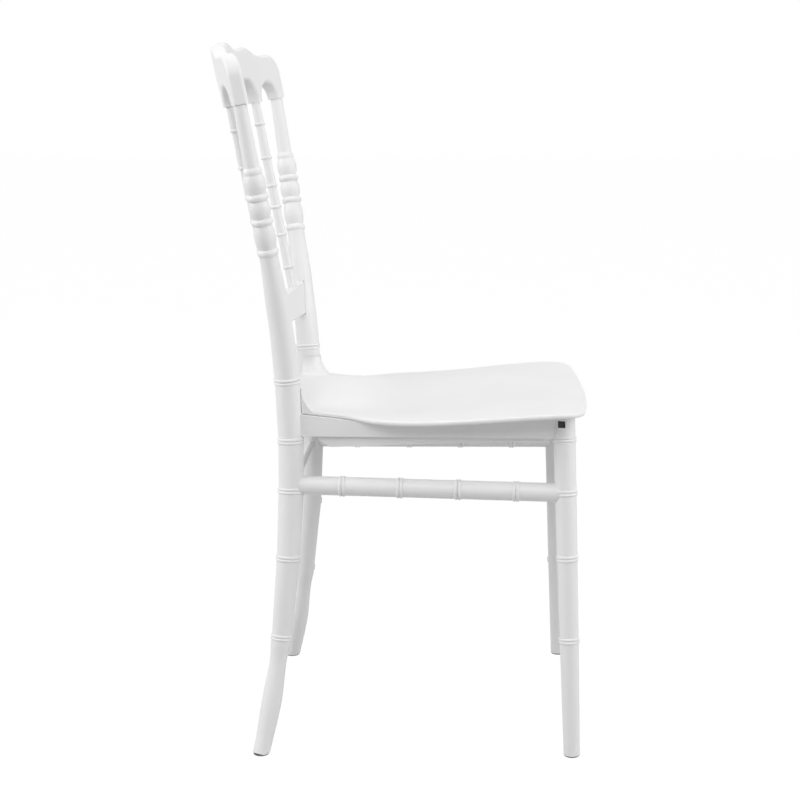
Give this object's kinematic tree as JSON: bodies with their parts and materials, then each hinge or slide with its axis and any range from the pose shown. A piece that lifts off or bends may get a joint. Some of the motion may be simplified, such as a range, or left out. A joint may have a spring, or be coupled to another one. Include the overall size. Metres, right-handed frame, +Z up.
{
  "type": "napoleon chair",
  "caption": "Dining chair of white moulded resin in the napoleon style: turned, ringed legs and posts, a dished seat, slim spindles and a bowed, wavy crest rail.",
  "frame": {"origin": "centre of the footprint, on the floor", "axes": "+Z up, -Y towards the front edge of the seat, +X to the sitter's left"},
  "size_m": [0.4108, 0.4862, 0.9],
  "materials": {
    "white_resin": "satin moulded resin",
    "glide_plastic": "matt",
    "black_clip": "matt",
    "fastener_steel": "zinc plated"
  },
  "bodies": {
    "root": {"crest_rail": "white_resin", "front_leg_left": "white_resin", "front_leg_right": "white_resin", "front_rail": "white_resin", "lower_back_rail": "white_resin", "rear_post_left": "white_resin", "rear_post_right": "white_resin", "rear_rail": "white_resin", "rear_stretcher": "white_resin", "seat": "white_resin", "side_rail_left": "white_resin", "side_rail_right": "white_resin", "side_stretcher_left": "white_resin", "side_stretcher_right": "white_resin", "spindle_left": "white_resin", "spindle_right": "white_resin", "foot_glide_front_left": "glide_plastic", "foot_glide_front_right": "glide_plastic", "foot_glide_rear_left": "glide_plastic", "foot_glide_rear_right": "glide_plastic", "seat_clip_left": "black_clip", "seat_clip_right": "black_clip", "rear_bolts": "fastener_steel", "barrel_nuts": "fastener_steel", "seat_screws": "fastener_steel"}
  },
  "joints": []
}
